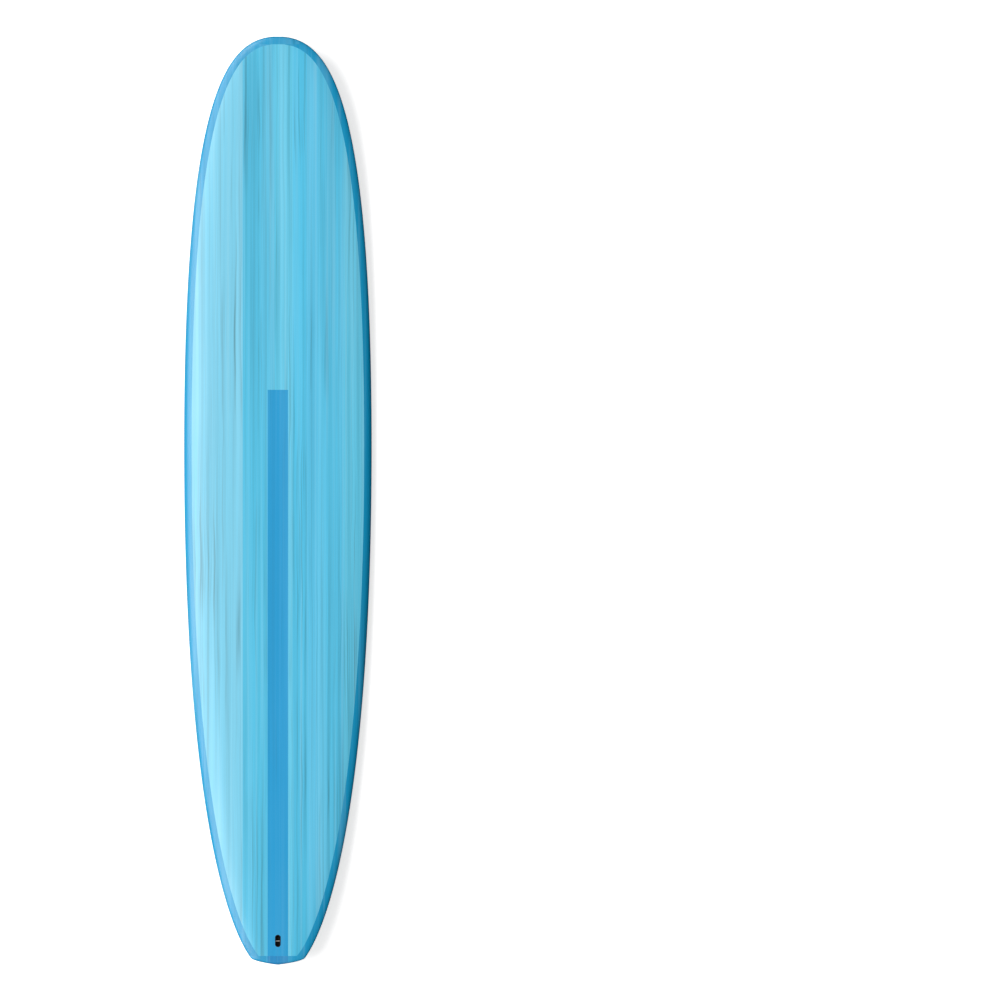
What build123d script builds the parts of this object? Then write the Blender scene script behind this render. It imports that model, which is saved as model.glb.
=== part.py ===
"""A 9 foot 4 inch longboard: a foam core in veneer skins and laminated bands, with its fin and leash hardware.

Millimetres. The nose points to +Y, the deck faces +Z, and the board lies on its belly. A station is a
distance from the nose tip towards the tail. Left and right are those of a rider who faces the nose.
"""

from build123d import *
import math
import os

# Overall size
LENGTH = 2845.0
WIDTH = 575.0
THICKNESS = 70.4
NOSE_ROCKER = 104.5
TAIL_ROCKER = 99.5
NOSE_EDGE = 19.5
TAIL_EDGE = 12.5
HALF = WIDTH / 2

# Plan outline of one side, three Bezier curves end to end: (station, distance from the centreline)
WIDE_POINT = 1255.0
TAIL_CORNER = (2824.0, 83.0)
OUTLINE = (
    ((0.0, 0.0), (0.0, 159.0), (172.0, HALF), (WIDE_POINT, HALF)),
    ((WIDE_POINT, HALF), (2479.0, HALF), (2770.0, 124.0), TAIL_CORNER),
    (TAIL_CORNER, (2832.5, 76.5), (2840.2, 40.0), (LENGTH, 0.0)),
)

# Rocker, the nose half and the tail half: (station, height of the centreline)
FLAT_SPOT = 1400.0
BOTTOM = (
    ((0.0, NOSE_ROCKER), (328.0, 20.0), (916.0, 0.0), (FLAT_SPOT, 0.0)),
    ((FLAT_SPOT, 0.0), (1931.0, 0.0), (2712.0, 48.0), (LENGTH, TAIL_ROCKER)),
)
DECK = (
    ((0.0, NOSE_ROCKER + NOSE_EDGE), (287.0, 72.0), (1293.0, THICKNESS), (FLAT_SPOT, THICKNESS)),
    ((FLAT_SPOT, THICKNESS), (2326.0, THICKNESS), (2588.0, 99.0), (LENGTH, TAIL_ROCKER + TAIL_EDGE)),
)

# Cross-section, at the nose and at the tail: the widest point's share of the thickness, and how far
# the deck and the bottom stay flat and how high the rail stays upright, as shares of the half width
# and of the height
APEX_SHARE = (0.46, 0.38)
DECK_FULLNESS = (0.66, 0.62)
BOTTOM_FULLNESS = (0.84, 0.93)
BOTTOM_TUCK = (0.40, 0.16)
TIP_ROUND = 9.0
STATIONS = (
    0.5, 1, 2, 3.5, 5.5, 8, 11, 15, 19, 24, 27, 31, 36, 43, 52, 65, 80, 100, 125, 155, 190, 235, 290,
    350, 420, 510, 610, 720, 830, 930, 1020, 1110, 1220, 1310, 1400, 1490, 1590, 1700, 1820, 1930,
    2040, 2140, 2240, 2330, 2410, 2490, 2560, 2620, 2680, 2730, 2765, 2792, 2808, 2818, 2824, 2828, 2832,
    2836, 2839, 2841.5, 2843.5, 2844.6,
)  # fmt: skip

# Skins
SKIN = 3.0
BOND = 0.15
BAND_WIDTH = 23.0
NOSE_BLOCK_END = 24.0
TAIL_BLOCK_START = 2818.0
PANEL_TIP = 6.0
CORE_JOINTS = (300.0, 700.0, 1200.0, 1750.0, 2280.0)
SLIVER = 1.0
STRIP_WIDTH = 62.8
STRIP_START = 1083.0
DECK_SEAMS = (-108.0, -10.0, 45.0, 88.0, 122.0, 202.0)
BOTTOM_SEAMS = (-200.0, -106.0, -47.0, 6.0, 61.0, 107.0)

# How finely a curve is searched, and the smallest useful gap between two stations
HALVINGS = 50
NUDGE = 1e-5
STATION_GAP = 0.2

# Cutting tools reach this far past the board on every side
REACH = 200.0
PROUD = 6.0
BED_DEPTH = 60.0

# Centre fin box, and the threaded plate that slides in its track
BOX_STATION = LENGTH - 258.5
BOX_LENGTH = 266.7
BOX_WIDTH = 25.4
BOX_DEPTH = 26.0
BOX_CORNER = 3.0
BOX_SLOT_LENGTH = 256.0
BOX_SLOT_WIDTH = 9.6
BOX_SLOT_DEPTH = 21.0
TRACK_LENGTH = 250.0
TRACK_WIDTH = 17.0
TRACK_TOP = 7.5
TRACK_HEIGHT = 4.0
NOTCH_LENGTH = 16.0
BOX_BLOCK = (304.0, 50.0)
PLATE_LENGTH = 12.7
PLATE_WIDTH = 16.4
PLATE_THICKNESS = 3.2
PLATE_CORNER = 1.5
PLATE_THREAD = 4.0
PLATE_GAP = 0.5

# Side fin plugs: (name, station, distance from the centreline, side)
PLUGS = (
    ("front_left", LENGTH - 490.2, 176.5, -1),
    ("front_right", LENGTH - 490.2, 176.5, 1),
    ("rear_left", LENGTH - 296.1, 138.0, -1),
    ("rear_right", LENGTH - 296.1, 138.0, 1),
)
TOE_IN = 1.7
PLUG_LENGTH = 94.0
PLUG_WIDTH = 33.0
PLUG_CORNER = 9.0
PLUG_DEPTH = 20.0
SLOTS = ((19.8, 36.0), (-24.2, 27.5))
SLOT_WIDTH = 6.8
SLOT_DEPTH = 15.5
RIM = 1.1
PLUG_BLOCK = (118.0, 44.0)

# Grub screws: (distance ahead of the plug's middle, 1 on the side of the centreline or -1 away from it)
GRUBS = ((25.3, 1), (-30.3, -1))
GRUB_OFFSET = 10.7
GRUB_TILT = 32.0
GRUB_RADIUS = 2.5
GRUB_CLEARANCE = 0.05
GRUB_RIM = 4.3
GRUB_RIM_SHIFT = 0.9
GRUB_TOP = 3.4
GRUB_BODY = 6.2
GRUB_POINT = 1.8
GRUB_POINT_RADIUS = 1.2
GRUB_SOCKET = 2.5
GRUB_SOCKET_DEPTH = 2.4
GRUB_BORE = 16.0

# Leash plug
LEASH_STATION = LENGTH - 73.0
LEASH_CUP = (38.0, 17.5)
LEASH_CUP_DEPTH = 17.0
LEASH_WELL = (34.0, 13.5)
LEASH_WELL_DEPTH = 14.0
LEASH_PIN_RADIUS = 2.0
LEASH_PIN_LENGTH = 16.1
LEASH_PIN_DROP = 4.5
LEASH_BLOCK = (60.0, 48.0)


def bezier(points, t):
    """The point at t on a cubic Bezier curve."""
    shares = ((1 - t) ** 3, 3 * (1 - t) ** 2 * t, 3 * (1 - t) * t**2, t**3)
    return tuple(sum(share * value for share, value in zip(shares, axis)) for axis in zip(*points))


def value_at(curves, station):
    """What a chain of (station, value) curves says at one station, found by halving."""
    curve = next((c for c in curves if station <= c[3][0]), curves[-1])
    low, high = 0.0, 1.0
    for _ in range(HALVINGS):
        middle = (low + high) / 2
        if bezier(curve, middle)[0] < station:
            low = middle
        else:
            high = middle
    return bezier(curve, low)[1]


def slope_at(curves, station):
    return value_at(curves, station + 0.5) - value_at(curves, station - 0.5)


def along(pair, station):
    """A value that changes evenly from the nose to the tail."""
    return pair[0] + (pair[1] - pair[0]) * station / LENGTH


def section_curves(station, inset):
    """The deck and bottom lines of one side of a cross-section, from the centreline to the rail."""
    half = value_at(OUTLINE, station)
    bottom = value_at(BOTTOM, station)
    deck = value_at(DECK, station)
    apex = bottom + along(APEX_SHARE, station) * (deck - bottom)
    end = min(station, LENGTH - station, TIP_ROUND)
    rounding = math.sqrt(1 - (1 - end / TIP_ROUND) ** 2)
    top = apex + (deck - apex) * rounding - inset
    low = apex - (apex - bottom) * rounding + inset
    half -= inset * math.hypot(1, slope_at(OUTLINE, station)) if inset else 0
    full = along(DECK_FULLNESS, station)
    upright = apex - along(BOTTOM_TUCK, station) * (apex - low)
    deck_line = ((0, top), (full * half, top), (half, apex + full * (top - apex)), (half, apex))
    bottom_line = ((0, low), (along(BOTTOM_FULLNESS, station) * half, low), (half, upright), (half, apex))
    return deck_line, bottom_line


def blend(p, q, t):
    return tuple(u + (v - u) * t for u, v in zip(p, q))


def stretch(line, x0, x1):
    """The control points of the part of a section line that lies between two distances."""

    def where(x):
        if x >= line[3][0]:
            return 1.0
        low, high = 0.0, 1.0
        for _ in range(HALVINGS):
            middle = (low + high) / 2
            if bezier(line, middle)[0] < x:
                low = middle
            else:
                high = middle
        return high

    def corner(*ts):
        points = line
        for t in ts:
            points = [blend(p, q, t) for p, q in zip(points, points[1:])]
        return points[0]

    a, b = where(x0), where(x1)
    return [corner(a, a, a), corner(a, a, b), corner(a, b, b), corner(b, b, b)]


def mirrored(points):
    return [(-x, z) for x, z in reversed(points)]


def surface_lines(line, left, right):
    """The curves of a section line from left to right, with a joint on the centreline if they cross it."""
    if right <= 0:
        return [mirrored(stretch(line, -right, -left))]
    if left >= 0:
        return [stretch(line, left, right)]
    return [mirrored(stretch(line, 0, -left)), stretch(line, 0, right)]


def panel_half(station):
    """Half the width of the panel inside the bands: the outline's parallel curve, BAND_WIDTH inside it."""

    def parallel(t):
        curve = OUTLINE[int(t)]
        here, ahead = bezier(curve, t % 1), bezier(curve, t % 1 + NUDGE)
        run, rise = ahead[0] - here[0], ahead[1] - here[1]
        size = math.hypot(run, rise)
        return here[0] + BAND_WIDTH * rise / size, here[1] - BAND_WIDTH * run / size

    low, high = 0.0, 2.0 - NUDGE
    for _ in range(HALVINGS):
        middle = (low + high) / 2
        if parallel(middle)[0] < station:
            low = middle
        else:
            high = middle
    reached, half = parallel(low)
    end = OUTLINE[1]
    fall = (end[3][1] - end[2][1]) / (end[3][0] - end[2][0])
    return half + fall * max(station - reached, 0)


def station_where(half, low, high):
    """The station between two others where the panel is this wide on each side."""
    widening = panel_half(high) > panel_half(low)
    for _ in range(HALVINGS):
        middle = (low + high) / 2
        if (panel_half(middle) < half) == widening:
            low = middle
        else:
            high = middle
    return high if widening else low


def stations_between(start, end):
    return [start, *[s for s in STATIONS if start + STATION_GAP < s < end - STATION_GAP], end]


def board_form(start, end, inset):
    """A smooth solid through the whole cross-sections between two stations."""
    with BuildPart() as form:
        for station in stations_between(start, end):
            with BuildSketch(Plane.XZ.offset(station - LENGTH / 2)):
                with BuildLine():
                    for line in section_curves(station, inset):
                        Bezier(*line)
                    mirror(about=Plane.YZ)
                make_face()
        loft()
    return form.part


def lofted_piece(spans, faces_at):
    """A solid between two surfaces and two upright sides. A span is (start, end, left, right)."""
    with BuildPart() as piece:
        for start, end, left, right in spans:
            for station in stations_between(start, end):
                near, far = faces_at(station, left, right)
                with BuildSketch(Plane.XZ.offset(station - LENGTH / 2)):
                    with BuildLine():
                        for curve in [*near, *far]:
                            Bezier(*curve)
                        Line(near[0][0], far[0][0])
                        Line(near[-1][3], far[-1][3])
                    make_face()
            loft()
    return piece.part


def bed(side, span, inset):
    """A block whose one face is the deck (side 0) or the bottom (side 1), to trim pieces flush with it."""
    lift = BED_DEPTH if side else -BED_DEPTH

    def faces(station, left, right):
        near = surface_lines(section_curves(station, inset)[side], left, right)
        return near, [[(x, z + lift) for x, z in curve] for curve in near]

    return lofted_piece([span], faces)


def through_block(span):
    """A block between the two skins."""

    def faces(station, left, right):
        return [surface_lines(line, left, right) for line in section_curves(station, SKIN + BOND)]

    return lofted_piece([span], faces)


def span_round(station, x, length, width):
    """The span of a rectangle in plan, from its middle and size."""
    return (station - length / 2, station + length / 2, x - width / 2, x + width / 2)


def upright_box(span):
    """Everything above and below a span."""
    start, end, left, right = span
    with BuildPart() as box:
        with BuildSketch(Plane.XY.offset(-REACH)):
            with Locations(((left + right) / 2, (LENGTH - start - end) / 2)):
                Rectangle(right - left, end - start)
        extrude(amount=2 * REACH + THICKNESS)
    return box.part


def bottom_place(station, x=0.0, height=0.0, turn=0.0):
    """A plane on the bottom: x towards the nose, y towards the right rail, z out of the board."""
    tilt = math.atan(slope_at(BOTTOM, station))
    origin = (x, LENGTH / 2 - station, value_at(BOTTOM, station) + height)
    forward = (0, math.cos(tilt), -math.sin(tilt))
    place = Plane(origin=origin, x_dir=forward, z_dir=(0, -math.sin(tilt), -math.cos(tilt)))
    return place.rotated((0, 0, turn))


def deck_place(station):
    """A plane on the deck's centreline: x towards the nose, z out of the board."""
    tilt = math.atan(slope_at(DECK, station))
    origin = (0, LENGTH / 2 - station, value_at(DECK, station))
    forward = (0, math.cos(tilt), -math.sin(tilt))
    return Plane(origin=origin, x_dir=forward, z_dir=(0, math.sin(tilt), math.cos(tilt)))


def bottom_height(station, x):
    """How far the bottom at x stands above its own centreline."""
    line = section_curves(station, 0)[1]
    return stretch(line, 0, x)[3][1] - value_at(BOTTOM, station)


def finish(part, name):
    part.label = name
    export_step(part, f"parts/{name}.step")


os.makedirs("parts", exist_ok=True)

core_pockets = []


# Fin plugs and their tools
def plug_place(station, x, side):
    return bottom_place(station, side * x, bottom_height(station, x), side * TOE_IN)


def plug_prism(place, size, corner, depth):
    """A rounded block from just outside the bottom to a depth inside the board."""
    with BuildPart() as prism:
        with BuildSketch(place.offset(PROUD)):
            RectangleRounded(*size, corner)
        extrude(amount=-depth - PROUD)
    return prism.part


def plug_rims(place, side):
    """What shows of a plug: a rim round each slot and round each grub screw."""
    with BuildPart() as rims:
        with BuildSketch(place.offset(PROUD)):
            for ahead, length in SLOTS:
                with Locations((ahead, 0)):
                    SlotOverall(length + 2 * RIM, SLOT_WIDTH + 2 * RIM)
            for ahead, inboard in GRUBS:
                with Locations((ahead, -side * inboard * (GRUB_OFFSET - GRUB_RIM_SHIFT))):
                    Circle(GRUB_RIM)
        extrude(amount=-PROUD - SKIN - PROUD)
    return rims.part


def grub_place(place, side, ahead, inboard):
    """The grub screw's axis, from the surface: z runs into the board, leaning towards the slot."""
    away = -side * inboard
    tilt = math.radians(GRUB_TILT)
    start = place.from_local_coords((ahead, away * GRUB_OFFSET, 0))
    inward = place.from_local_coords((ahead, away * (GRUB_OFFSET - math.sin(tilt)), -math.cos(tilt)))
    station = LENGTH / 2 - start.Y
    surface = value_at(BOTTOM, station) + bottom_height(station, abs(start.X))
    return Plane(origin=(start.X, start.Y, surface), x_dir=place.x_dir, z_dir=inward - start)


def fin_plug(place, side, rims, span):
    with BuildPart() as plug:
        add(plug_prism(place, (PLUG_LENGTH, PLUG_WIDTH), PLUG_CORNER, PLUG_DEPTH))
        add(bed(1, span, SKIN + BOND), mode=Mode.INTERSECT)
    with BuildPart() as showing:
        add(rims)
        add(bed(1, span, 0), mode=Mode.INTERSECT)
    with BuildPart() as whole:
        add(plug.part)
        add(showing.part)
        with BuildSketch(place.offset(PROUD)):
            for ahead, length in SLOTS:
                with Locations((ahead, 0)):
                    SlotOverall(length, SLOT_WIDTH)
        extrude(amount=-PROUD - SLOT_DEPTH, mode=Mode.SUBTRACT)
        for ahead, inboard in GRUBS:
            with BuildSketch(grub_place(place, side, ahead, inboard).offset(-PROUD)):
                Circle(GRUB_RADIUS + GRUB_CLEARANCE)
            extrude(amount=PROUD + GRUB_BORE, mode=Mode.SUBTRACT)
    return whole.part


def grub_screw(axis):
    with BuildPart() as screw:
        with BuildSketch(axis.offset(GRUB_TOP)):
            Circle(GRUB_RADIUS)
        extrude(amount=GRUB_BODY)
        with BuildSketch(axis.offset(GRUB_TOP + GRUB_BODY)):
            Circle(GRUB_RADIUS)
        with BuildSketch(axis.offset(GRUB_TOP + GRUB_BODY + GRUB_POINT)):
            Circle(GRUB_POINT_RADIUS)
        loft()
        with BuildSketch(axis.offset(GRUB_TOP)):
            RegularPolygon(GRUB_SOCKET / 2, 6, major_radius=False)
        extrude(amount=GRUB_SOCKET_DEPTH, mode=Mode.SUBTRACT)
    return screw.part


all_rims = []
for name, station, x, side in PLUGS:
    place = plug_place(station, x, side)
    rims = plug_rims(place, side)
    all_rims.append(rims)
    span = span_round(station, side * x, *PLUG_BLOCK)
    core_pockets.append(upright_box(span))
    finish(fin_plug(place, side, rims, span), f"{name}_fin_plug")
    for number, (ahead, inboard) in enumerate(GRUBS, 1):
        finish(grub_screw(grub_place(place, side, ahead, inboard)), f"{name}_grub_screw_{number}")
    with BuildPart() as plug_block:
        add(through_block(span))
        add(plug_prism(place, (PLUG_LENGTH, PLUG_WIDTH), PLUG_CORNER, PLUG_DEPTH), mode=Mode.SUBTRACT)
    finish(plug_block.part, f"{name}_plug_block")

# Centre fin box
box_place = bottom_place(BOX_STATION)
box_prism = plug_prism(box_place, (BOX_LENGTH, BOX_WIDTH), BOX_CORNER, BOX_DEPTH)
box_span = span_round(BOX_STATION, 0, *BOX_BLOCK)
core_pockets.append(upright_box(box_span))
with BuildPart() as fin_box:
    add(box_prism)
    add(bed(1, box_span, 0), mode=Mode.INTERSECT)
    with BuildSketch(box_place.offset(PROUD)):
        SlotOverall(BOX_SLOT_LENGTH, BOX_SLOT_WIDTH)
    extrude(amount=-PROUD - BOX_SLOT_DEPTH, mode=Mode.SUBTRACT)
    with BuildSketch(box_place.offset(-TRACK_TOP)):
        Rectangle(TRACK_LENGTH, TRACK_WIDTH)
    extrude(amount=-TRACK_HEIGHT, mode=Mode.SUBTRACT)
    with BuildSketch(box_place.offset(PROUD)):
        Rectangle(NOTCH_LENGTH, TRACK_WIDTH)
    extrude(amount=-PROUD - TRACK_TOP, mode=Mode.SUBTRACT)
finish(fin_box.part, "fin_box")

with BuildPart() as fin_box_block:
    add(through_block(box_span))
    add(box_prism, mode=Mode.SUBTRACT)
finish(fin_box_block.part, "fin_box_block")

plate_rest = (PLATE_LENGTH - TRACK_LENGTH) / 2 + PLATE_GAP
with BuildPart() as fin_plate:
    with BuildSketch(box_place.offset(-TRACK_TOP - (TRACK_HEIGHT - PLATE_THICKNESS) / 2)):
        with Locations((plate_rest, 0)):
            RectangleRounded(PLATE_LENGTH, PLATE_WIDTH, PLATE_CORNER)
            Circle(PLATE_THREAD / 2, mode=Mode.SUBTRACT)
    extrude(amount=-PLATE_THICKNESS)
finish(fin_plate.part, "fin_plate")

# Leash plug
leash_place = deck_place(LEASH_STATION)
with BuildPart() as leash_prism:
    with BuildSketch(leash_place.offset(PROUD)):
        SlotOverall(*LEASH_CUP)
    extrude(amount=-PROUD - LEASH_CUP_DEPTH)
pin_place = Plane(
    origin=leash_place.from_local_coords((0, 0, -LEASH_PIN_DROP)), x_dir=leash_place.x_dir, z_dir=(1, 0, 0)
)
leash_span = span_round(LEASH_STATION, 0, *LEASH_BLOCK)
core_pockets.append(upright_box(leash_span))
with BuildPart() as leash_cup:
    add(leash_prism.part)
    add(bed(0, leash_span, 0), mode=Mode.INTERSECT)
    with BuildSketch(leash_place.offset(PROUD)):
        SlotOverall(*LEASH_WELL)
    extrude(amount=-PROUD - LEASH_WELL_DEPTH, mode=Mode.SUBTRACT)
    with BuildSketch(pin_place):
        Circle(LEASH_PIN_RADIUS)
    extrude(amount=LEASH_PIN_LENGTH / 2, both=True, mode=Mode.SUBTRACT)
finish(leash_cup.part, "leash_cup")
with BuildPart() as leash_pin:
    with BuildSketch(pin_place):
        Circle(LEASH_PIN_RADIUS)
    extrude(amount=LEASH_PIN_LENGTH / 2, both=True)
finish(leash_pin.part, "leash_pin")
with BuildPart() as leash_block:
    add(through_block(leash_span))
    add(leash_prism.part, mode=Mode.SUBTRACT)
finish(leash_block.part, "leash_block")

# Foam core, glued up from lengths; the last has a through pocket for every block
core_ends = (NOSE_BLOCK_END + BOND, *CORE_JOINTS, TAIL_BLOCK_START - BOND)
for number, (start, end) in enumerate(zip(core_ends, core_ends[1:]), 1):
    with BuildPart() as foam_core:
        add(board_form(start, end, SKIN + BOND))
        if end > CORE_JOINTS[-1]:
            for pocket in core_pockets:
                add(pocket, mode=Mode.SUBTRACT)
    finish(foam_core.part, f"foam_core_{number}")


# Skins
def skin_piece(side, spans, cutters):
    """A sheet of one skin, side 0 the deck and side 1 the bottom, no wider than the panel."""

    def faces(station, left, right):
        half = panel_half(station)
        sides = max(left, -half), min(right, half)
        return [surface_lines(section_curves(station, depth)[side], *sides) for depth in (0, SKIN)]

    with BuildPart() as piece:
        add(lofted_piece(spans, faces))
        for cutter in cutters:
            add(cutter, mode=Mode.SUBTRACT)
    return piece.part


def split_spans(start, end, left, right):
    """One span, cut where the panel's edge reaches either side, so that no span has a corner in it."""
    nearest = left if left > 0 else -right if right < 0 else 0.0
    first = max(start, station_where(max(nearest + SLIVER, PANEL_TIP), NOSE_BLOCK_END, WIDE_POINT))
    last = min(end, TAIL_BLOCK_START)
    if nearest + SLIVER > panel_half(last):
        last = station_where(nearest + SLIVER, WIDE_POINT, TAIL_BLOCK_START)
    cuts = {first, last}
    for half in (abs(left), abs(right)):
        if half < HALF - BAND_WIDTH:
            cuts.add(station_where(half, NOSE_BLOCK_END, WIDE_POINT))
            if half > panel_half(TAIL_BLOCK_START):
                cuts.add(station_where(half, WIDE_POINT, TAIL_BLOCK_START))
    inside = sorted(cut for cut in cuts if first <= cut <= last)
    return [(a, b, left, right) for a, b in zip(inside, inside[1:])]


def lay_planks(side, seams, name, cutters):
    """The planks of one skin, from the left rail to the right, stopped either side of the centre strip."""
    strip_half = STRIP_WIDTH / 2
    edges = (-HALF, *seams, HALF)
    for number, (left, right) in enumerate(zip(edges, edges[1:]), 1):
        if left < strip_half and right > -strip_half:
            beside = (left, -strip_half) if left < -strip_half else (strip_half, right)
            spans = split_spans(NOSE_BLOCK_END, STRIP_START, left, right)
            spans += split_spans(STRIP_START, TAIL_BLOCK_START, *beside)
        else:
            spans = split_spans(NOSE_BLOCK_END, TAIL_BLOCK_START, left, right)
        cutting = [c for c in cutters if left < c.center().X < right]
        finish(skin_piece(side, spans, cutting), f"{name}_plank_{number}")


def strip(side, name, cutter):
    spans = [(STRIP_START, TAIL_BLOCK_START, -STRIP_WIDTH / 2, STRIP_WIDTH / 2)]
    finish(skin_piece(side, spans, [cutter]), name)


def rail_band(name, side):
    """One side's band: it wraps the rail and laps onto the deck and the bottom as far as the panels."""
    with BuildPart() as band:
        for station in stations_between(NOSE_BLOCK_END, TAIL_BLOCK_START):
            edge = panel_half(station) + BOND
            with BuildSketch(Plane.XZ.offset(station - LENGTH / 2)):
                with BuildLine():
                    laps = []
                    for depth in (0, SKIN):
                        for line in section_curves(station, depth):
                            lap = [(side * x, z) for x, z in stretch(line, edge, line[3][0])]
                            Bezier(*lap)
                            laps.append(lap[0])
                    Line(laps[0], laps[2])
                    Line(laps[1], laps[3])
                make_face()
        loft()
    finish(band.part, name)


lay_planks(0, DECK_SEAMS, "deck", [])
lay_planks(1, BOTTOM_SEAMS, "bottom", all_rims)
strip(0, "deck_strip", leash_prism.part)
strip(1, "bottom_strip", box_prism)
rail_band("left_rail_band", -1)
rail_band("right_rail_band", 1)
finish(board_form(STATIONS[0], NOSE_BLOCK_END - BOND, 0), "nose_block")
finish(board_form(TAIL_BLOCK_START + BOND, STATIONS[-1], 0), "tail_block")
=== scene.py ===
"""Looks of the longboard: veneer skins, laminated bands and black hardware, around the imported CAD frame.

Metres, in the CAD's frame: the nose points to +Y and the deck faces +Z. The form's own numbers are in
millimetres, as in the CAD. A station is a distance from the nose tip towards the tail.
"""

from functools import lru_cache
import math

import bpy
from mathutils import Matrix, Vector
import numpy as np


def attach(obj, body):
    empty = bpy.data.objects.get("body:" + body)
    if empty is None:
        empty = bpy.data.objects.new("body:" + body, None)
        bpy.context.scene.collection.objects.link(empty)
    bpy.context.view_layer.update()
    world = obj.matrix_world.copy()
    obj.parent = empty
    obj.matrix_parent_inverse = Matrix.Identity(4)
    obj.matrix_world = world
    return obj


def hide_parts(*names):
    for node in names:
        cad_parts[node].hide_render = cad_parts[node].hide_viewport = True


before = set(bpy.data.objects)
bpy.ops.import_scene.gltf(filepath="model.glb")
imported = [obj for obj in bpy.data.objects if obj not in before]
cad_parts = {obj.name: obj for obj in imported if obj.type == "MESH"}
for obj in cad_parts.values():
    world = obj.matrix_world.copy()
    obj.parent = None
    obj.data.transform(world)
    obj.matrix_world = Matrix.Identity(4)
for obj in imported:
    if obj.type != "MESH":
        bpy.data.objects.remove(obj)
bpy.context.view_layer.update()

MM = 0.001

# The board's form: (station, distance from the centreline or height)
LENGTH = 2845.0
HALF = 287.5
WIDE_POINT = 1255.0
OUTLINE = (
    ((0.0, 0.0), (0.0, 159.0), (172.0, HALF), (WIDE_POINT, HALF)),
    ((WIDE_POINT, HALF), (2479.0, HALF), (2770.0, 124.0), (2824.0, 83.0)),
    ((2824.0, 83.0), (2832.5, 76.5), (2840.2, 40.0), (LENGTH, 0.0)),
)
BOTTOM = (
    ((0.0, 104.5), (328.0, 20.0), (916.0, 0.0), (1400.0, 0.0)),
    ((1400.0, 0.0), (1931.0, 0.0), (2712.0, 48.0), (LENGTH, 99.5)),
)
DECK = (
    ((0.0, 124.0), (287.0, 72.0), (1293.0, 70.4), (1400.0, 70.4)),
    ((1400.0, 70.4), (2326.0, 70.4), (2588.0, 99.0), (LENGTH, 112.0)),
)
APEX_SHARE = (0.46, 0.38)
DECK_FULLNESS = (0.66, 0.62)
BOTTOM_FULLNESS = (0.84, 0.93)
BOTTOM_TUCK = (0.40, 0.16)
TIP_ROUND = 9.0
FIRST_STATION = 0.5
LAST_STATION = 2844.6

# Skins
SKIN = 3.0
BAND_WIDTH = 23.0
NOSE_BLOCK_END = 24.0
TAIL_BLOCK_START = 2818.0
SLIVER = 1.0
TIP_WIDTH = 0.1
STRIP_HALF = 31.4
STRIP_START = 1083.0
DECK_SEAMS = (-108.0, -10.0, 45.0, 88.0, 122.0, 202.0)
BOTTOM_SEAMS = (-200.0, -106.0, -47.0, 6.0, 61.0, 107.0)

# Cut-outs in the skins for the hardware
BOX_STATION = LENGTH - 258.5
BOX_SIZE = (266.7, 25.4, 3.0)
LEASH_STATION = LENGTH - 73.0
LEASH_CUP = (38.0, 17.5)
PLUGS = ((LENGTH - 490.2, 176.5), (LENGTH - 296.1, 138.0))
TOE_IN = 1.7
RIM_SLOTS = ((19.8, 38.2), (-24.2, 29.7))
RIM_WIDTH = 9.0
RIM_DOTS = ((25.3, 1), (-30.3, -1))
DOT_OFFSET = 9.8
DOT_RADIUS = 4.3
CUT_REACH = 8.0

# How finely the sheets are divided
STATION_STEP = 8.0
COLUMN_STEP = 6.0
BAND_COLUMNS = 22
BLOCK_RINGS = 26
HALVINGS = 40
NUDGE = 1e-5
SHARP = 35

# Tints, as screen colours; the planks' run from the left rail to the right
# The first, left-rail deck plank's lighter tint is partly its own tone and partly painted light from the
# left
DECK_TINTS = (
    (126, 207, 234), (90, 194, 228), (103, 204, 235), (93, 200, 236),
    (98, 199, 235), (98, 201, 236), (110, 210, 241),
)  # fmt: skip
BOTTOM_TINTS = (
    (104, 198, 229), (107, 202, 233), (112, 204, 233), (101, 197, 229),
    (108, 202, 233), (103, 197, 229), (117, 205, 234),
)  # fmt: skip
STRIP_TINT = (38, 159, 212)
BAND_TINT = (50, 160, 207)
TAIL_STRIP_TINT = (36, 142, 198)

# The veneer's grain: waves per metre across, along and up; how strongly it shows under the strips and
# the bands; bare, hardly stained wood; and how far the thin lines wander sideways, in metres
BROAD_WAVES = (17.0, 0.30, 0.8)
NARROW_WAVES = (80.0, 0.50, 1.5)
PORE_WAVES = (270.0, 0.9, 6.0)
LINE_WAVES = (150.0, 1.2, 3.0)
PATCH_WAVES = (8.0, 1.5, 1.0)
WANDER_WAVES = (5.0, 3.0, 2.0)
STRIP_STREAKS = 0.35
BAND_STREAKS = 0.55
PALE_STAIN = (0.42, 0.76, 0.88, 1.0)
WANDER = 0.016

# Hardware and core colours, as linear light
BLACK = (0.002, 0.002, 0.003, 1.0)
DUSTY_BLACK = (0.007, 0.007, 0.008, 1.0)
SCUFFED_BLACK = (0.04, 0.04, 0.044, 1.0)
BRIGHT_STEEL = (0.62, 0.61, 0.59)
# The fin plate's steel: a dull finish, made darker still as painted shade for its place deep in the fin
# box's slot
DULL_SHADED_STEEL = (0.32, 0.31, 0.30)
STAINED_STEEL_SHARE = 0.62
WHITE_FOAM = ((0.80, 0.79, 0.75, 1.0), (0.60, 0.59, 0.55, 1.0))
WHITE_BEADS_PER_METRE = 260.0
DENSE_FOAM = ((0.68, 0.60, 0.38, 1.0), (0.52, 0.44, 0.26, 1.0))
DENSE_CELLS_PER_METRE = 900.0

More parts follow.
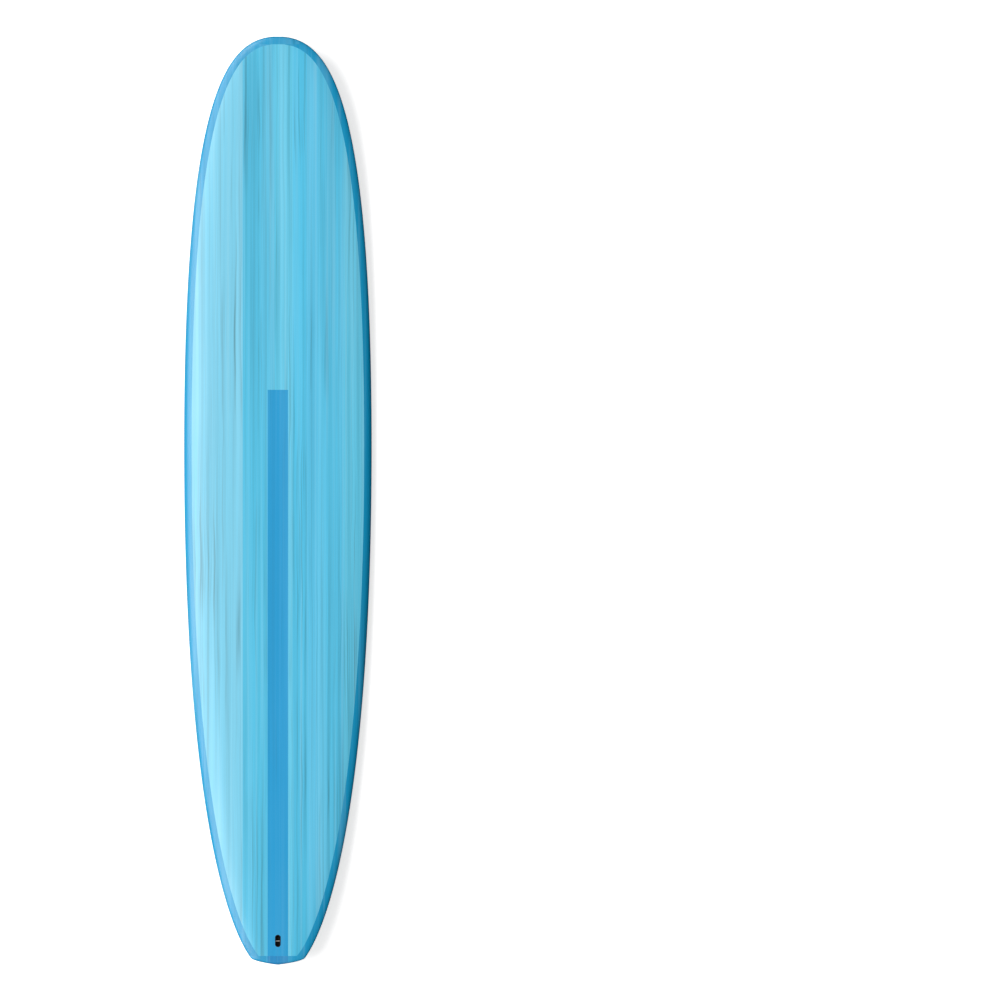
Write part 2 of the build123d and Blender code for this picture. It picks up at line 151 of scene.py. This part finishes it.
# Studio: the key light's direction, width in degrees and strength; the floor; and the sky, which is
# bright above and on the left and dim on the right and below
KEY_DIRECTION = (0.80, -0.10, -1.0)
KEY_WIDTH = 45.0
KEY_STRENGTH = 2.75
FLOOR_SIZE = 30.0
FLOOR_DROP = 0.0005
FLOOR_GLOW = 0.62
FLOOR_SHADES = ((0.93, 0.93, 0.93, 1.0), (0.96, 0.96, 0.96, 1.0))
WHITE = (1.0, 1.0, 1.0, 1.0)
WORLD_LEAN = -1.2
WORLD_FROM = -0.6
WORLD_DIM = 0.02
WORLD_BRIGHT = 0.50

# How the studio shows a gloss surface: what the gloss adds, and how bright a plain white looks
SHEEN = 0.035
LIGHT_LEVEL = 0.99

# Camera: straight down on the deck, nose up, the board left of the middle as in the photograph
VIEW_WIDTH = 3.0648
CAMERA_PLACE = (0.6808, 0.0018, 6.0)
VIEW_DEPTH = 50.0


def bezier(points, t):
    """The point at t on a cubic Bezier curve; t may be an array."""
    shares = ((1 - t) ** 3, 3 * (1 - t) ** 2 * t, 3 * (1 - t) * t**2, t**3)
    return tuple(sum(share * value for share, value in zip(shares, axis)) for axis in zip(*points))


def halved(low, high, past):
    """Where a condition that starts false turns true, between two values."""
    for _ in range(HALVINGS):
        middle = (low + high) / 2
        if past(middle):
            high = middle
        else:
            low = middle
    return (low + high) / 2


def value_at(curves, station):
    """What a chain of (station, value) curves says at one station."""
    curve = next((c for c in curves if station <= c[3][0]), curves[-1])
    return bezier(curve, halved(0.0, 1.0, lambda t: bezier(curve, t)[0] >= station))[1]


def slope_at(curves, station):
    return value_at(curves, station + 0.5) - value_at(curves, station - 0.5)


def along(pair, station):
    """A value that changes evenly from the nose to the tail."""
    return pair[0] + (pair[1] - pair[0]) * station / LENGTH


@lru_cache(None)
def section_curves(station, inset=0.0):
    """The deck and bottom lines of one side of a cross-section, from the centreline to the rail."""
    half = value_at(OUTLINE, station)
    bottom = value_at(BOTTOM, station)
    deck = value_at(DECK, station)
    apex = bottom + along(APEX_SHARE, station) * (deck - bottom)
    end = min(station, LENGTH - station, TIP_ROUND)
    rounding = math.sqrt(1 - (1 - end / TIP_ROUND) ** 2)
    top = apex + (deck - apex) * rounding - inset
    low = apex - (apex - bottom) * rounding + inset
    half -= inset * math.hypot(1, slope_at(OUTLINE, station)) if inset else 0
    full = along(DECK_FULLNESS, station)
    upright = apex - along(BOTTOM_TUCK, station) * (apex - low)
    deck_line = ((0, top), (full * half, top), (half, apex + full * (top - apex)), (half, apex))
    bottom_line = ((0, low), (along(BOTTOM_FULLNESS, station) * half, low), (half, upright), (half, apex))
    return deck_line, bottom_line


@lru_cache(None)
def panel_half(station):
    """Half the width of the panel inside the bands: the outline's parallel curve, BAND_WIDTH inside it."""

    def parallel(t):
        curve = OUTLINE[int(t)]
        here, ahead = bezier(curve, t % 1), bezier(curve, t % 1 + NUDGE)
        run, rise = ahead[0] - here[0], ahead[1] - here[1]
        size = math.hypot(run, rise)
        return here[0] + BAND_WIDTH * rise / size, here[1] - BAND_WIDTH * run / size

    reached, half = parallel(halved(0.0, 2.0 - NUDGE, lambda t: parallel(t)[0] >= station))
    end = OUTLINE[1]
    fall = (end[3][1] - end[2][1]) / (end[3][0] - end[2][0])
    return half + fall * max(station - reached, 0)


def station_where(half, low, high):
    """The station between two others where the panel has this half width."""
    widening = panel_half(high) > panel_half(low)
    return halved(low, high, lambda s: (panel_half(s) >= half) == widening)


def meeting_stations(distance):
    """Where a seam at this distance from the centreline runs into the bands."""
    ends = []
    if distance > panel_half(NOSE_BLOCK_END):
        ends.append(station_where(distance, NOSE_BLOCK_END, WIDE_POINT))
    if distance > panel_half(TAIL_BLOCK_START):
        ends.append(station_where(distance, WIDE_POINT, TAIL_BLOCK_START))
    return ends


@lru_cache(None)
def shared_stations():
    """The rows that every sheet uses: even steps, and the stations where a seam meets a band."""
    corners = [s for seam in DECK_SEAMS + BOTTOM_SEAMS for s in meeting_stations(abs(seam))]
    steps = [STATION_STEP * n for n in range(int(LENGTH / STATION_STEP) + 1)]
    apart = [s for s in steps if all(abs(s - c) > SLIVER for c in corners)]
    return sorted(apart + corners)


def places_on(line, distances):
    """Where a section line reaches each distance from the centreline."""
    low, high = np.zeros(len(distances)), np.ones(len(distances))
    for _ in range(HALVINGS):
        middle = (low + high) / 2
        past = bezier(line, middle)[0] >= distances
        high = np.where(past, middle, high)
        low = np.where(past, low, middle)
    return (low + high) / 2


def stations_between(start, end):
    """Both ends and the shared stations between them, so that neighbouring sheets have the same rows."""
    return [start, *[s for s in shared_stations() if start + SLIVER < s < end - SLIVER], end]


def to_world(station, distances, heights):
    return [(x * MM, (LENGTH / 2 - station) * MM, z * MM) for x, z in zip(distances, heights)]


def wall(first, second):
    """The strip of faces between two rows of point numbers."""
    return [(a, b, d, c) for a, b, c, d in zip(first, first[1:], second, second[1:])]


def sheet(rows, start=0):
    """Points and faces of a closed sheet, from rows of (outer, inner) points."""
    across = len(rows[0][0])
    points = [point for outer, inner in rows for point in outer + inner]
    outers = [[start + 2 * across * r + j for j in range(across)] for r in range(len(rows))]
    inners = [[j + across for j in row] for row in outers]
    faces = []
    for r in range(len(rows) - 1):
        faces += wall(outers[r], outers[r + 1])
        faces += wall(inners[r + 1], inners[r])
        faces.append((outers[r][0], outers[r + 1][0], inners[r + 1][0], inners[r][0]))
        faces.append((outers[r][-1], inners[r][-1], inners[r + 1][-1], outers[r + 1][-1]))
    faces += wall(inners[0], outers[0])
    faces += wall(outers[-1], inners[-1])
    return points, faces


def new_piece(name, points, faces):
    mesh = bpy.data.meshes.new(name)
    mesh.from_pydata(points, [], faces)
    piece = bpy.data.objects.new(name, mesh)
    bpy.context.scene.collection.objects.link(piece)
    return piece


def smooth(piece):
    """Face every normal outwards, shade the piece smooth and keep its edges sharp."""
    bpy.ops.object.select_all(action="DESELECT")
    bpy.context.view_layer.objects.active = piece
    piece.select_set(True)
    bpy.ops.object.mode_set(mode="EDIT")
    bpy.ops.mesh.select_all(action="SELECT")
    bpy.ops.mesh.normals_make_consistent(inside=False)
    bpy.ops.object.mode_set(mode="OBJECT")
    piece.data.shade_smooth()
    piece.data.set_sharp_from_angle(angle=math.radians(SHARP))


def panel_rows(side, start, end, sides_at):
    """Rows of a sheet of one skin (side 0 the deck, side 1 the bottom) between two stations."""
    widest = max(b - a for a, b in (sides_at(s) for s in stations_between(start, end)))
    columns = max(3, int(widest / COLUMN_STEP) + 2)
    rows = []
    for station in stations_between(start, end):
        distances = np.linspace(*sides_at(station), columns)
        layers = []
        for depth in (0.0, SKIN):
            line = section_curves(station, depth)[side]
            heights = bezier(line, places_on(line, np.abs(distances)))[1]
            layers.append(to_world(station, distances, heights))
        rows.append(layers)
    return rows


def stadium(length, width, count=14):
    """A slot's outline: two half rounds."""
    radius, reach = width / 2, (length - width) / 2
    turns = [math.pi * (n / count - 0.5) for n in range(count + 1)]
    ahead = [(reach + radius * math.cos(a), radius * math.sin(a)) for a in turns]
    return ahead + [(-u, -v) for u, v in ahead]


def rounded(length, width, corner, count=6):
    """A rectangle's outline with round corners."""
    points = []
    for quarter in range(4):
        u = (length / 2 - corner) * (1 if quarter in (0, 3) else -1)
        v = (width / 2 - corner) * (1 if quarter in (0, 1) else -1)
        for n in range(count + 1):
            turn = math.pi / 2 * (quarter + n / count)
            points.append((u + corner * math.cos(turn), v + corner * math.sin(turn)))
    return points


def shifted(outline, ahead, aside):
    return [(u + ahead, v + aside) for u, v in outline]


def cutter(curves, side, station, x, turn, outlines):
    """Upright blocks through a skin, with their outlines laid on the surface at a station."""
    tilt = math.atan(slope_at(curves, station))
    line = section_curves(station)[side]
    height = bezier(line, places_on(line, np.array([abs(x)])))[1][0]
    origin = np.array((x, LENGTH / 2 - station, height))
    forward = np.array((0, math.cos(tilt), -math.sin(tilt)))
    right = np.array((1, 0, 0))
    out = np.cross(right, forward)
    turned = forward * math.cos(turn) + right * math.sin(turn)
    aside = right * math.cos(turn) - forward * math.sin(turn)
    points, faces = [], []
    for outline in outlines:
        base, count = len(points), len(outline)
        for lift in (-CUT_REACH, CUT_REACH):
            points += [tuple((origin + turned * u + aside * v + out * lift) * MM) for u, v in outline]
        ring = [base + n for n in range(count)] + [base]
        faces += wall(ring, [n + count for n in ring])
        faces.append(tuple(ring[:-1])[::-1])
        faces.append(tuple(n + count for n in ring[:-1]))
    block = new_piece("cutter", points, faces)
    smooth(block)
    return block


def cut_out(piece, blocks):
    """Cut blocks out of a piece and leave no modifier on it."""
    for block in blocks:
        cut = piece.modifiers.new("cut", "BOOLEAN")
        cut.operation = "DIFFERENCE"
        cut.solver = "EXACT"
        cut.object = block
        evaluated = piece.evaluated_get(bpy.context.evaluated_depsgraph_get())
        mesh = bpy.data.meshes.new_from_object(evaluated)
        piece.modifiers.clear()
        piece.data = mesh


# Materials


def linear(red, green, blue):
    """A screen colour, 0 to 255, as linear light."""
    shares = [value / 255 for value in (red, green, blue)]
    return (*[s / 12.92 if s <= 0.04045 else ((s + 0.055) / 1.055) ** 2.4 for s in shares], 1.0)


class Paint:
    """A node material, and short ways to add to it."""

    def __init__(self, name):
        self.material = bpy.data.materials.new(name)
        self.material.use_nodes = True
        self.tree = self.material.node_tree
        self.shader = self.tree.nodes["Principled BSDF"]
        self.place = self.tree.nodes.new("ShaderNodeTexCoord").outputs["Object"]

    def link(self, source, socket):
        if isinstance(source, bpy.types.NodeSocket):
            self.tree.links.new(source, socket)
        else:
            socket.default_value = source

    def set(self, **values):
        for name, value in values.items():
            self.link(value, self.shader.inputs[name.replace("_", " ")])

    def swayed(self, amount, reach):
        """The place on the object, moved sideways by up to half the reach either way."""
        apart = self.tree.nodes.new("ShaderNodeSeparateXYZ")
        self.link(self.place, apart.inputs["Vector"])
        moved = self.maths("MULTIPLY_ADD", amount, reach, apart.outputs["X"])
        joined = self.tree.nodes.new("ShaderNodeCombineXYZ")
        self.link(moved, joined.inputs["X"])
        self.link(apart.outputs["Y"], joined.inputs["Y"])
        self.link(apart.outputs["Z"], joined.inputs["Z"])
        return joined.outputs["Vector"]

    def noise(self, scale, detail=3.0, roughness=0.5, shift=(0.0, 0.0, 0.0), place=None):
        """Noise with its own scale along each axis, in waves per metre."""
        mapping = self.tree.nodes.new("ShaderNodeMapping")
        mapping.inputs["Scale"].default_value = scale
        mapping.inputs["Location"].default_value = shift
        self.link(place or self.place, mapping.inputs["Vector"])
        noise = self.tree.nodes.new("ShaderNodeTexNoise")
        noise.inputs["Scale"].default_value = 1.0
        noise.inputs["Detail"].default_value = detail
        noise.inputs["Roughness"].default_value = roughness
        self.link(mapping.outputs["Vector"], noise.inputs["Vector"])
        return noise.outputs["Fac"]

    def ramp(self, source, *stops):
        """(position, grey or colour) stops."""
        ramp = self.tree.nodes.new("ShaderNodeValToRGB")
        elements = ramp.color_ramp.elements
        for index, (position, colour) in enumerate(stops):
            element = elements[index] if index < 2 else elements.new(position)
            element.position = position
            element.color = (colour, colour, colour, 1.0) if isinstance(colour, float) else colour
        self.link(source, ramp.inputs["Fac"])
        return ramp.outputs["Color"]

    def mix(self, kind, share, first, second):
        mix = self.tree.nodes.new("ShaderNodeMix")
        mix.data_type = "RGBA"
        mix.blend_type = kind
        self.link(share, mix.inputs["Factor"])
        colours = [socket for socket in mix.inputs if socket.type == "RGBA"]
        self.link(first, colours[0])
        self.link(second, colours[1])
        return next(socket for socket in mix.outputs if socket.type == "RGBA")

    def maths(self, kind, *values):
        node = self.tree.nodes.new("ShaderNodeMath")
        node.operation = kind
        for value, socket in zip(values, node.inputs):
            self.link(value, socket)
        return node.outputs["Value"]

    def bump(self, height, strength, distance):
        node = self.tree.nodes.new("ShaderNodeBump")
        node.inputs["Strength"].default_value = strength
        node.inputs["Distance"].default_value = distance
        self.link(height, node.inputs["Height"])
        self.link(node.outputs["Normal"], self.shader.inputs["Normal"])


def stain(tint):
    """The colour under the gloss that looks like this screen colour in the studio's light."""
    return (*[max(value - SHEEN, 0.0) / LIGHT_LEVEL for value in linear(*tint)[:3]], 1.0)


def grain(paint, seed):
    """Lengthwise streaks of a stained veneer: bands, pores, wandering lines and where the lines darken."""
    broad = paint.noise(BROAD_WAVES, 2.0, 0.5, (seed, seed * 0.7, 0.0))
    narrow = paint.noise(NARROW_WAVES, 2.0, 0.55, (seed * 1.7, 1.0, 0.0))
    wander = paint.noise(WANDER_WAVES, 2.0, 0.5, (seed * 0.9, 0.0, 0.0))
    swayed = paint.swayed(wander, WANDER)
    fine = paint.noise(PORE_WAVES, 3.0, 0.6, (seed * 1.3, 0.0, 0.0), swayed)
    lines = paint.noise(LINE_WAVES, 3.0, 0.55, (seed * 2.1, 3.0, 0.0), swayed)
    patches = paint.noise(PATCH_WAVES, 2.0, 0.5, (seed * 0.4, 7.0, 0.0))
    return broad, narrow, fine, lines, patches


def streaked(paint, tint, seed, depth=1.0):
    """A tint under streaks, as a colour: paler where the stain took less, darker where it took more."""
    broad, narrow, fine, lines, patches = grain(paint, seed)
    bare = paint.ramp(broad, (0.46, 0.0), (0.74, 0.22 * depth))
    slim = paint.ramp(narrow, (0.52, 0.0), (0.72, 0.20 * depth))
    colour = paint.mix("MIX", bare, tint, PALE_STAIN)
    colour = paint.mix("MIX", slim, colour, PALE_STAIN)
    deep = paint.ramp(broad, (0.28, 1 - 0.12 * depth), (0.48, 1.0))
    thin = paint.ramp(narrow, (0.30, 1 - 0.16 * depth), (0.46, 1.0))
    pores = paint.ramp(fine, (0.32, 1 - 0.10 * depth), (0.56, 1.0))
    dark = paint.ramp(lines, (0.29, 1 - 0.22 * depth), (0.36, 1.0))
    for shade in (deep, thin, pores, dark):
        colour = paint.mix("MULTIPLY", 1.0, colour, shade)
    where = paint.ramp(patches, (0.48, 0.0), (0.64, 1.0))
    figured = paint.ramp(lines, (0.36, 1 - 0.26 * depth), (0.52, 1.0))
    colour = paint.mix("MULTIPLY", where, colour, figured)
    return colour, fine


def gloss(paint, fine):
    """Epoxy over the colour: glossy, with faint sanding and grain telegraphing through."""
    wipe = paint.noise((9.0, 5.0, 9.0), 4.0, 0.6)
    paint.set(Roughness=paint.ramp(wipe, (0.3, 0.36), (0.7, 0.46)))
    paint.set(Coat_Weight=0.15, Coat_Roughness=0.15, Coat_IOR=1.5, IOR=1.45)
    paint.bump(fine, 0.06, 0.0004)


def veneer(name, tint, seed, depth=1.0):
    paint = Paint(name)
    colour, fine = streaked(paint, stain(tint), seed, depth)
    paint.set(Base_Color=colour)
    gloss(paint, fine)
    return paint.material


def banded(name, tint, middle=None, seed=5.0):
    """The lap bands: a darker tint, with the strip showing through on the middle where it has one."""
    paint = Paint(name)
    colour, fine = streaked(paint, stain(tint), seed, BAND_STREAKS)
    if middle:
        apart = paint.tree.nodes.new("ShaderNodeSeparateXYZ")
        paint.link(paint.place, apart.inputs["Vector"])
        aside = paint.maths("ABSOLUTE", apart.outputs["X"])
        inside = paint.maths("LESS_THAN", aside, STRIP_HALF * MM)
        darker, _ = streaked(paint, stain(middle), seed + 2, BAND_STREAKS)
        colour = paint.mix("MIX", inside, colour, darker)
    paint.set(Base_Color=colour)
    gloss(paint, fine)
    return paint.material


def moulded(name):
    """Black moulded plastic: a fine texture, grey dust in it and lighter scuffs."""
    paint = Paint(name)
    dust = paint.noise((160.0, 160.0, 160.0), 5.0, 0.6)
    speck = paint.noise((1500.0, 1500.0, 1500.0), 2.0, 0.6)
    edge = paint.tree.nodes.new("ShaderNodeNewGeometry").outputs["Pointiness"]
    worn = paint.ramp(edge, (0.52, 0.0), (0.62, 1.0))
    colour = paint.ramp(dust, (0.3, BLACK), (0.75, DUSTY_BLACK))
    colour = paint.mix("MIX", paint.maths("MULTIPLY", worn, 0.30), colour, SCUFFED_BLACK)
    paint.set(Base_Color=colour, Roughness=paint.ramp(dust, (0.3, 0.45), (0.7, 0.62)))
    paint.set(IOR=1.4, Specular_IOR_Level=0.18)
    paint.bump(speck, 0.12, 0.0002)
    return paint.material


def steel(name, tone):
    """Plain stainless steel with turning marks, light stains and brighter rubbed patches."""
    paint = Paint(name)
    marks = paint.noise((90.0, 3200.0, 3200.0), 3.0, 0.6)
    blots = paint.noise((240.0, 240.0, 240.0), 4.0, 0.6)
    low, high = (*[STAINED_STEEL_SHARE * v for v in tone], 1.0), (*tone, 1.0)
    paint.set(Base_Color=paint.ramp(blots, (0.32, low), (0.6, high)), Metallic=1.0)
    paint.set(Roughness=paint.ramp(marks, (0.3, 0.28), (0.7, 0.46)))
    paint.bump(marks, 0.10, 0.0001)
    return paint.material


def foam(name, first, second, bead):
    """Cut foam: beads or cells a few millimetres across."""
    paint = Paint(name)
    cells = paint.tree.nodes.new("ShaderNodeTexVoronoi")
    cells.inputs["Scale"].default_value = bead
    paint.link(paint.place, cells.inputs["Vector"])
    distance = cells.outputs["Distance"]
    paint.set(Base_Color=paint.ramp(distance, (0.1, first), (0.8, second)))
    paint.set(Roughness=paint.ramp(distance, (0.0, 0.75), (1.0, 0.95)))
    paint.bump(distance, 0.3, 0.001)
    return paint.material


# Sheets


def skin(name, node, material, parts, blocks=()):
    """One sheet of the skins in place of its CAD node."""
    points, faces = [], []
    for rows in parts:
        more_points, more_faces = sheet(rows, len(points))
        points += more_points
        faces += more_faces
    piece = new_piece(name, points, faces)
    smooth(piece)
    cut_out(piece, blocks)
    smooth(piece)
    piece.data.materials.clear()
    piece.data.materials.append(material)
    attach(piece, "board")
    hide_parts(node)
    return piece


def limits(left, right):
    """Where a plank starts and ends along the board."""
    inner = max(left, -right, 0.0) + TIP_WIDTH
    start, end = NOSE_BLOCK_END, TAIL_BLOCK_START
    if inner > panel_half(start):
        start = station_where(inner, start, WIDE_POINT)
    if inner > panel_half(end):
        end = station_where(inner, WIDE_POINT, end)
    return start, end


def planks(side, seams, name, tints, blocks):
    edges = (-HALF, *seams, HALF)
    for number, (left, right) in enumerate(zip(edges, edges[1:]), 1):

        def sides_at(station, low=left, high=right):
            half = panel_half(station)
            return max(low, -half), min(high, half)

        start, end = limits(left, right)
        if left < STRIP_HALF and right > -STRIP_HALF:
            beside = (left, -STRIP_HALF) if left < -STRIP_HALF else (STRIP_HALF, right)
            parts = [
                panel_rows(side, start, STRIP_START, sides_at),
                panel_rows(side, STRIP_START, end, lambda s: sides_at(s, *beside)),
            ]
        else:
            parts = [panel_rows(side, start, end, sides_at)]
        material = veneer(f"{name}_veneer_{number}", tints[number - 1], number * 3.1 + side * 40)
        mine = [block for block, x in blocks if left < x < right]
        skin(f"{name}_skin_{number}", f"{name}_plank_{number}", material, parts, mine)


def strips(side, name, block):
    rows = panel_rows(side, STRIP_START, TAIL_BLOCK_START, lambda s: (-STRIP_HALF, STRIP_HALF))
    material = veneer(f"{name}_strip_paint", STRIP_TINT, 71.0 + side, STRIP_STREAKS)
    skin(f"{name}_centre_strip", f"{name}_strip", material, [rows], [block])


def band_points(station, side, depth):
    """One side's band at a station: over the rail from the deck's panel to the bottom's."""
    points = []
    edge = np.array([panel_half(station)])
    for line, turned in zip(section_curves(station, depth), (False, True)):
        first = places_on(line, edge)[0]
        along_line = np.linspace(first, 1.0, BAND_COLUMNS)
        distances, heights = bezier(line, along_line)
        here = to_world(station, side * distances, heights)
        points += here[-2::-1] if turned else here
    return points


def band(name, side):
    rows = []
    for station in stations_between(NOSE_BLOCK_END, TAIL_BLOCK_START):
        rows.append((band_points(station, side, 0.0), band_points(station, side, SKIN)))
    material = banded(f"{name}_paint", BAND_TINT, seed=11.0 + side)
    skin(f"{name}_lap", name, material, [rows])


def end_block(name, stations, middle):
    """A closed end of the board: whole cross-sections, joined in rings."""
    points, rings = [], []
    for station in stations:
        deck_line, bottom_line = section_curves(station)
        shares = np.linspace(0.0, 1.0, BAND_COLUMNS)
        ring = []
        for line, back in ((deck_line, False), (bottom_line, True)):
            distances, heights = bezier(line, shares[::-1] if back else shares)
            ring += to_world(station, distances, heights)[: None if back else -1]
        left = [(-x, y, z) for x, y, z in ring[-2:0:-1]]
        rings.append([len(points) + n for n in range(len(ring) + len(left))])
        points += ring + left
    faces = []
    for first, second in zip(rings, rings[1:]):
        faces += wall(first + first[:1], second + second[:1])
    faces += [tuple(rings[0]), tuple(rings[-1][::-1])]
    piece = new_piece(f"{name}_form", points, faces)
    smooth(piece)
    piece.data.materials.append(banded(f"{name}_paint", BAND_TINT, middle, 15.0))
    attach(piece, "board")
    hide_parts(name)


def finish_node(name, material):
    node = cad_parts[name]
    for slot_of_node in node.material_slots:
        slot_of_node.material = material


# Cutters for the hardware
dot = stadium(2 * DOT_RADIUS, 2 * DOT_RADIUS - NUDGE)
plug_cutters = []
for station, distance in PLUGS:
    for side in (-1, 1):
        outlines = [shifted(stadium(length, RIM_WIDTH), ahead, 0) for ahead, length in RIM_SLOTS]
        outlines += [shifted(dot, ahead, -side * inboard * DOT_OFFSET) for ahead, inboard in RIM_DOTS]
        turn = -side * math.radians(TOE_IN)
        block = cutter(BOTTOM, 1, station, side * distance, turn, outlines)
        plug_cutters.append((block, side * distance))
box_cutter = cutter(BOTTOM, 1, BOX_STATION, 0.0, 0.0, [rounded(*BOX_SIZE)])
leash_cutter = cutter(DECK, 0, LEASH_STATION, 0.0, 0.0, [stadium(*LEASH_CUP)])

planks(0, DECK_SEAMS, "deck", DECK_TINTS, [])
planks(1, BOTTOM_SEAMS, "bottom", BOTTOM_TINTS, plug_cutters)
strips(0, "deck", leash_cutter)
strips(1, "bottom", box_cutter)
band("left_rail_band", -1)
band("right_rail_band", 1)
nose_stations = [
    FIRST_STATION + (NOSE_BLOCK_END - FIRST_STATION) * (n / BLOCK_RINGS) ** 2
    for n in range(BLOCK_RINGS + 1)
]
tail_stations = [
    LAST_STATION + (TAIL_BLOCK_START - LAST_STATION) * (n / BLOCK_RINGS) ** 1.6
    for n in range(BLOCK_RINGS + 1)
]
end_block("nose_block", nose_stations, None)
end_block("tail_block", tail_stations[::-1], TAIL_STRIP_TINT)
for block in [b for b, _ in plug_cutters] + [box_cutter, leash_cutter]:
    bpy.data.objects.remove(block)

# Hardware and the hidden core keep their CAD shapes
black = moulded("black_moulding")
bright = steel("stainless_steel", BRIGHT_STEEL)
dull_shaded_steel = steel("dull_steel_painted_shade", DULL_SHADED_STEEL)
white_foam = foam("white_foam", *WHITE_FOAM, WHITE_BEADS_PER_METRE)
dense_foam = foam("dense_foam", *DENSE_FOAM, DENSE_CELLS_PER_METRE)
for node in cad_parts:
    if "core" in node:
        finish_node(node, white_foam)
    elif node.endswith("_block") and node not in ("nose_block", "tail_block"):
        finish_node(node, dense_foam)
    elif node.endswith("_fin_plug") or node in ("fin_box", "leash_cup"):
        finish_node(node, black)
    elif "grub_screw" in node or node == "leash_pin":
        finish_node(node, bright)
    # The fin plate's darker steel is partly its dull finish and partly painted shade of the slot it sits
    # in
    elif node == "fin_plate":
        finish_node(node, dull_shaded_steel)

# Studio
corner = FLOOR_SIZE / 2
floor_points = [(x * corner, y * corner, -FLOOR_DROP) for x, y in ((-1, -1), (1, -1), (1, 1), (-1, 1))]
floor_mesh = bpy.data.meshes.new("floor")
floor_mesh.from_pydata(floor_points, [], [(0, 1, 2, 3)])
floor = bpy.data.objects.new("floor", floor_mesh)
bpy.context.scene.collection.objects.link(floor)
floor_paint = Paint("pale_floor")
mottle = floor_paint.noise((0.8, 0.8, 0.8), 3.0, 0.5)
floor_paint.set(Base_Color=floor_paint.ramp(mottle, (0.3, FLOOR_SHADES[0]), (0.7, FLOOR_SHADES[1])))
floor_paint.set(Roughness=0.9, Emission_Color=WHITE, Emission_Strength=FLOOR_GLOW)
floor_mesh.materials.append(floor_paint.material)
floor.visible_diffuse = False
floor.visible_glossy = False


def key_light():
    """A broad, far softbox above and to the left."""
    data = bpy.data.lights.new("key", "SUN")
    data.energy = KEY_STRENGTH
    data.angle = math.radians(KEY_WIDTH)
    lamp = bpy.data.objects.new("key", data)
    lamp.rotation_euler = Vector(KEY_DIRECTION).to_track_quat("-Z", "Y").to_euler()
    bpy.context.scene.collection.objects.link(lamp)


def studio_world():
    """White to look at; as light, bright from above and the left and dim from the right and below."""
    world = bpy.data.worlds.new("studio")
    world.use_nodes = True
    nodes, links = world.node_tree.nodes, world.node_tree.links
    background = nodes["Background"]
    place = nodes.new("ShaderNodeTexCoord")
    apart = nodes.new("ShaderNodeSeparateXYZ")
    links.new(place.outputs["Generated"], apart.inputs["Vector"])
    lean = nodes.new("ShaderNodeMath")
    lean.operation = "MULTIPLY_ADD"
    links.new(apart.outputs["X"], lean.inputs[0])
    lean.inputs[1].default_value = WORLD_LEAN
    links.new(apart.outputs["Z"], lean.inputs[2])
    ramp = nodes.new("ShaderNodeMapRange")
    ramp.inputs["From Min"].default_value = WORLD_FROM
    ramp.inputs["From Max"].default_value = 1.0
    ramp.inputs["To Min"].default_value = WORLD_DIM
    ramp.inputs["To Max"].default_value = WORLD_BRIGHT
    links.new(lean.outputs["Value"], ramp.inputs["Value"])
    seen = nodes.new("ShaderNodeLightPath")
    mix = nodes.new("ShaderNodeMix")
    links.new(seen.outputs["Is Camera Ray"], mix.inputs["Factor"])
    links.new(ramp.outputs["Result"], mix.inputs["A"])
    mix.inputs["B"].default_value = 1.0
    links.new(mix.outputs["Result"], background.inputs["Strength"])
    background.inputs["Color"].default_value = WHITE
    return world


key_light()
bpy.context.scene.world = studio_world()
bpy.context.scene.view_settings.view_transform = "Standard"

camera_data = bpy.data.cameras.new("camera")
camera_data.type = "ORTHO"
camera_data.ortho_scale = VIEW_WIDTH
camera_data.clip_end = VIEW_DEPTH
camera = bpy.data.objects.new("camera", camera_data)
camera.location = CAMERA_PLACE
bpy.context.scene.collection.objects.link(camera)
bpy.context.scene.camera = camera
